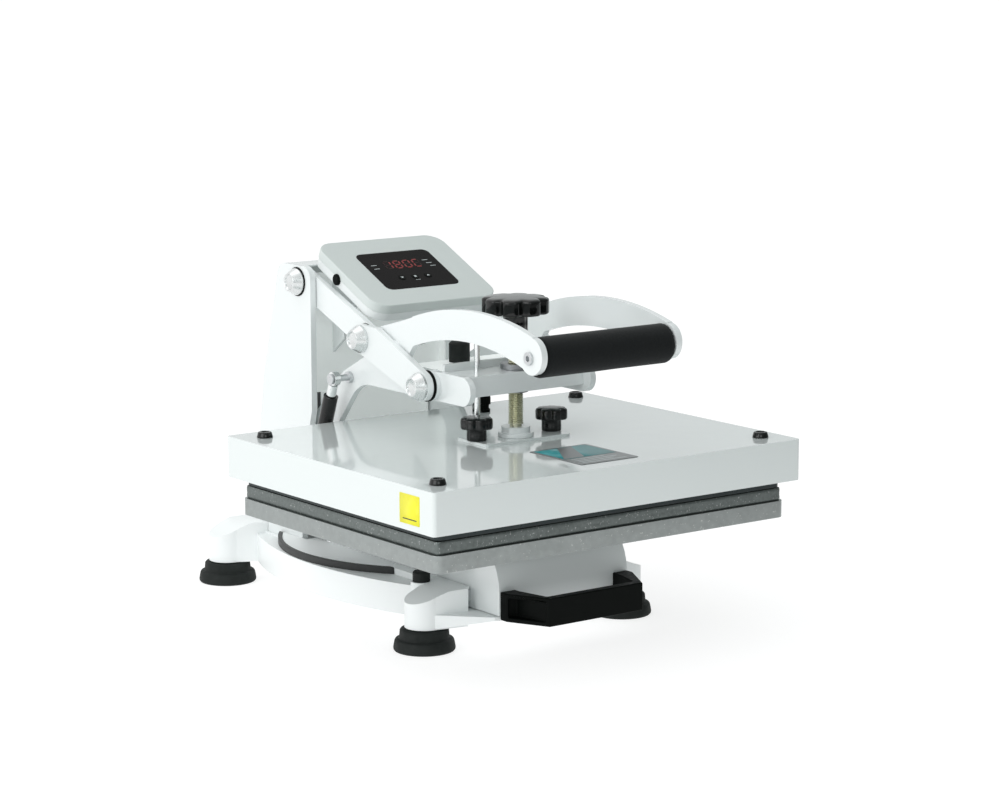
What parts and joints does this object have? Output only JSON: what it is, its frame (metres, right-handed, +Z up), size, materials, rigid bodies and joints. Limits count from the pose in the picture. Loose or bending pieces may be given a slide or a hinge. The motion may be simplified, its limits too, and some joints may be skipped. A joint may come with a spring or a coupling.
{
  "type": "heat press",
  "caption": "Clamshell heat press: a toggle handle closes a screw-adjusted heated head onto a padded table that pulls out on a drawer.",
  "frame": {"origin": "middle of the footprint, on the floor under the feet", "axes": "X across the press, -Y towards the operator, +Z up"},
  "size_m": [0.524, 0.6595, 0.4367],
  "materials": {
    "base_shell": "glossy white powder coat",
    "deck_edge_trims": "matte black edge trim",
    "base_floor": "glossy white powder coat",
    "rubber_feet": "matte black moulded rubber",
    "foot_bolts": "zinc-plated",
    "corner_bumpers": "matte black rubber",
    "column_plates": "glossy white powder coat",
    "column_front_panel": "white powder coat",
    "column_back_cover": "glossy white powder coat",
    "pivot_shaft": "ground steel",
    "link_pins": "turned, dished ends",
    "gas_anchors": "zinc-plated",
    "power_entry": "fine-grained black",
    "relay_block": "moulded grey on a steel mounting sheet",
    "drawer_rails": "bright zinc",
    "box_bracket": "white powder coat",
    "box_front_shell": "light grey-white satin",
    "box_back_shell": "white satin",
    "display_window": "glossy black panel with dim red digits",
    "circuit_board": "green circuit board",
    "box_side_plugs": "black",
    "button_minus": "dark grey key",
    "button_set": "dark grey key",
    "button_plus": "dark grey key",
    "switch_rocker": "glossy red",
    "arm_plates": "glossy white powder coat",
    "crossbar": "glossy white powder coat",
    "arm_top_plate": "white powder coat",
    "arm_bumper": "matte black rubber",
    "spindle_nut": "dark zinc",
    "arm_bushes": "sintered bronze",
    "gas_studs": "zinc-plated",
    "links": "glossy white powder coat",
    "lever_plates": "glossy white powder coat",
    "handle_arms": "glossy white powder coat",
    "lever_caps": "turned, dished ends",
    "lever_washers": "black nylon",
    "grip_bar": "steel tube",
    "grip_foam": "matte black closed-cell foam",
    "grip_bolts": "dark zinc, hex socket",
    "gas_cylinders": "satin black",
    "gas_rods": "polished rod and end fitting",
    "cover_shell": "glossy white powder coat",
    "cover_screws": "black dished caps",
    "heating_plate": "black heat-proof coating on cast aluminium",
    "insulation": "ceramic-fibre board",
    "bracket_plate": "glossy white powder coat",
    "screw_boss": "glossy white powder coat",
    "guide_rod": "polished steel",
    "name_plate": null,
    "spindle": "yellow zinc-plated thread",
    "pressure_knob": "glossy black",
    "star_knob_left": "glossy black",
    "star_knob_right": "glossy black",
    "table": "cast and milled",
    "silicone_pad": "speckled grey silicone sponge",
    "drawer_body": "glossy white powder coat",
    "drawer_runners": "bright zinc",
    "drawer_pull": "satin black"
  },
  "bodies": {
    "frame": {"base_shell": "base_shell", "deck_edge_trims": "deck_edge_trims", "base_floor": "base_floor", "rubber_feet": "rubber_feet", "foot_bolts": "foot_bolts", "corner_bumpers": "corner_bumpers", "column_plates": "column_plates", "column_front_panel": "column_front_panel", "column_back_cover": "column_back_cover", "pivot_shaft": "pivot_shaft", "link_pins": "link_pins", "gas_anchors": "gas_anchors", "power_entry": "power_entry", "relay_block": "relay_block", "drawer_rails": "drawer_rails", "box_bracket": "box_bracket", "box_front_shell": "box_front_shell", "box_back_shell": "box_back_shell", "display_window": "display_window", "circuit_board": "circuit_board", "box_side_plugs": "box_side_plugs"},
    "lifting_arm": {"arm_plates": "arm_plates", "crossbar": "crossbar", "arm_top_plate": "arm_top_plate", "arm_bumper": "arm_bumper", "spindle_nut": "spindle_nut", "arm_bushes": "arm_bushes", "gas_studs": "gas_studs"},
    "toggle_links": {"links": "links"},
    "hand_lever": {"lever_plates": "lever_plates", "handle_arms": "handle_arms", "lever_caps": "lever_caps", "lever_washers": "lever_washers", "grip_bar": "grip_bar", "grip_foam": "grip_foam", "grip_bolts": "grip_bolts"},
    "spring_cylinders": {"gas_cylinders": "gas_cylinders"},
    "spring_rods": {"gas_rods": "gas_rods"},
    "head": {"cover_shell": "cover_shell", "cover_screws": "cover_screws", "heating_plate": "heating_plate", "insulation": "insulation", "bracket_plate": "bracket_plate", "screw_boss": "screw_boss", "guide_rod": "guide_rod", "name_plate": "name_plate"},
    "pressure_screw": {"spindle": "spindle", "pressure_knob": "pressure_knob"},
    "clamp_left": {"star_knob_left": "star_knob_left"},
    "clamp_right": {"star_knob_right": "star_knob_right"},
    "drawer": {"table": "table", "silicone_pad": "silicone_pad", "drawer_body": "drawer_body", "drawer_runners": "drawer_runners", "drawer_pull": "drawer_pull"},
    "key_minus": {"button_minus": "button_minus"},
    "key_set": {"button_set": "button_set"},
    "key_plus": {"button_plus": "button_plus"},
    "rocker": {"switch_rocker": "switch_rocker"}
  },
  "joints": [
    {"name": "arm_lift", "type": "hinge", "parent": "frame", "child": "lifting_arm", "pos_m": [0, 0.18275, 0.18], "axis": [-1, 0, 0], "range_deg": [0, 14]},
    {"name": "lever_turn", "type": "hinge", "parent": "lifting_arm", "child": "hand_lever", "pos_m": [0, -0.08525, 0.2955], "axis": [-1, 0, 0], "range_deg": [0, 33.6]},
    {"name": "link_turn", "type": "hinge", "parent": "frame", "child": "toggle_links", "pos_m": [0, 0.17575, 0.391], "axis": [1, 0, 0], "range_deg": [0, 19.55]},
    {"name": "spring_swing", "type": "hinge", "parent": "frame", "child": "spring_cylinders", "pos_m": [0, 0.14675, 0.127], "axis": [-1, 0, 0], "range_deg": [0, 10.64]},
    {"name": "spring_extend", "type": "slide", "parent": "spring_cylinders", "child": "spring_rods", "axis": [0, -0.3547, 0.935], "range_m": [0, 0.01191]},
    {"name": "head_height", "type": "slide", "parent": "lifting_arm", "child": "head", "axis": [0, 0, 1], "range_m": [0, 0.0075]},
    {"name": "screw_turn", "type": "hinge", "parent": "head", "child": "pressure_screw", "pos_m": [0, -0.12425, 0.3], "axis": [0, 0, 1], "range_deg": [0, 1080]},
    {"name": "clamp_left_turn", "type": "hinge", "parent": "head", "child": "clamp_left", "pos_m": [-0.0545, -0.12175, 0.24], "axis": [0, 0, 1], "range_deg": [0, 720]},
    {"name": "clamp_right_turn", "type": "hinge", "parent": "head", "child": "clamp_right", "pos_m": [0.0545, -0.12175, 0.24], "axis": [0, 0, 1], "range_deg": [0, 720]},
    {"name": "drawer_slide", "type": "slide", "parent": "frame", "child": "drawer", "axis": [0, -1, 0], "range_m": [0, 0.25]},
    {"name": "press_minus", "type": "slide", "parent": "frame", "child": "key_minus", "axis": [0, 0.4163, -0.9092], "range_m": [0, 0.0008], "stiffness_N_per_m": 600},
    {"name": "press_set", "type": "slide", "parent": "frame", "child": "key_set", "axis": [0, 0.4163, -0.9092], "range_m": [0, 0.0008], "stiffness_N_per_m": 600},
    {"name": "press_plus", "type": "slide", "parent": "frame", "child": "key_plus", "axis": [0, 0.4163, -0.9092], "range_m": [0, 0.0008], "stiffness_N_per_m": 600},
    {"name": "power_switch", "type": "hinge", "parent": "frame", "child": "rocker", "pos_m": [0.017, 0.26175, 0.112], "axis": [1, 0, 0], "range_deg": [-14, 0]}
  ],
  "couplings": [
    {"joint": "lever_turn", "follows": "arm_lift", "ratio": 2.4},
    {"joint": "link_turn", "follows": "arm_lift", "ratio": 1.396},
    {"joint": "spring_swing", "follows": "arm_lift", "ratio": 0.7597},
    {"joint": "spring_extend", "follows": "arm_lift", "m_per_rad": 0.04872},
    {"joint": "screw_turn", "follows": "head_height", "rad_per_m": 2513.3}
  ]
}
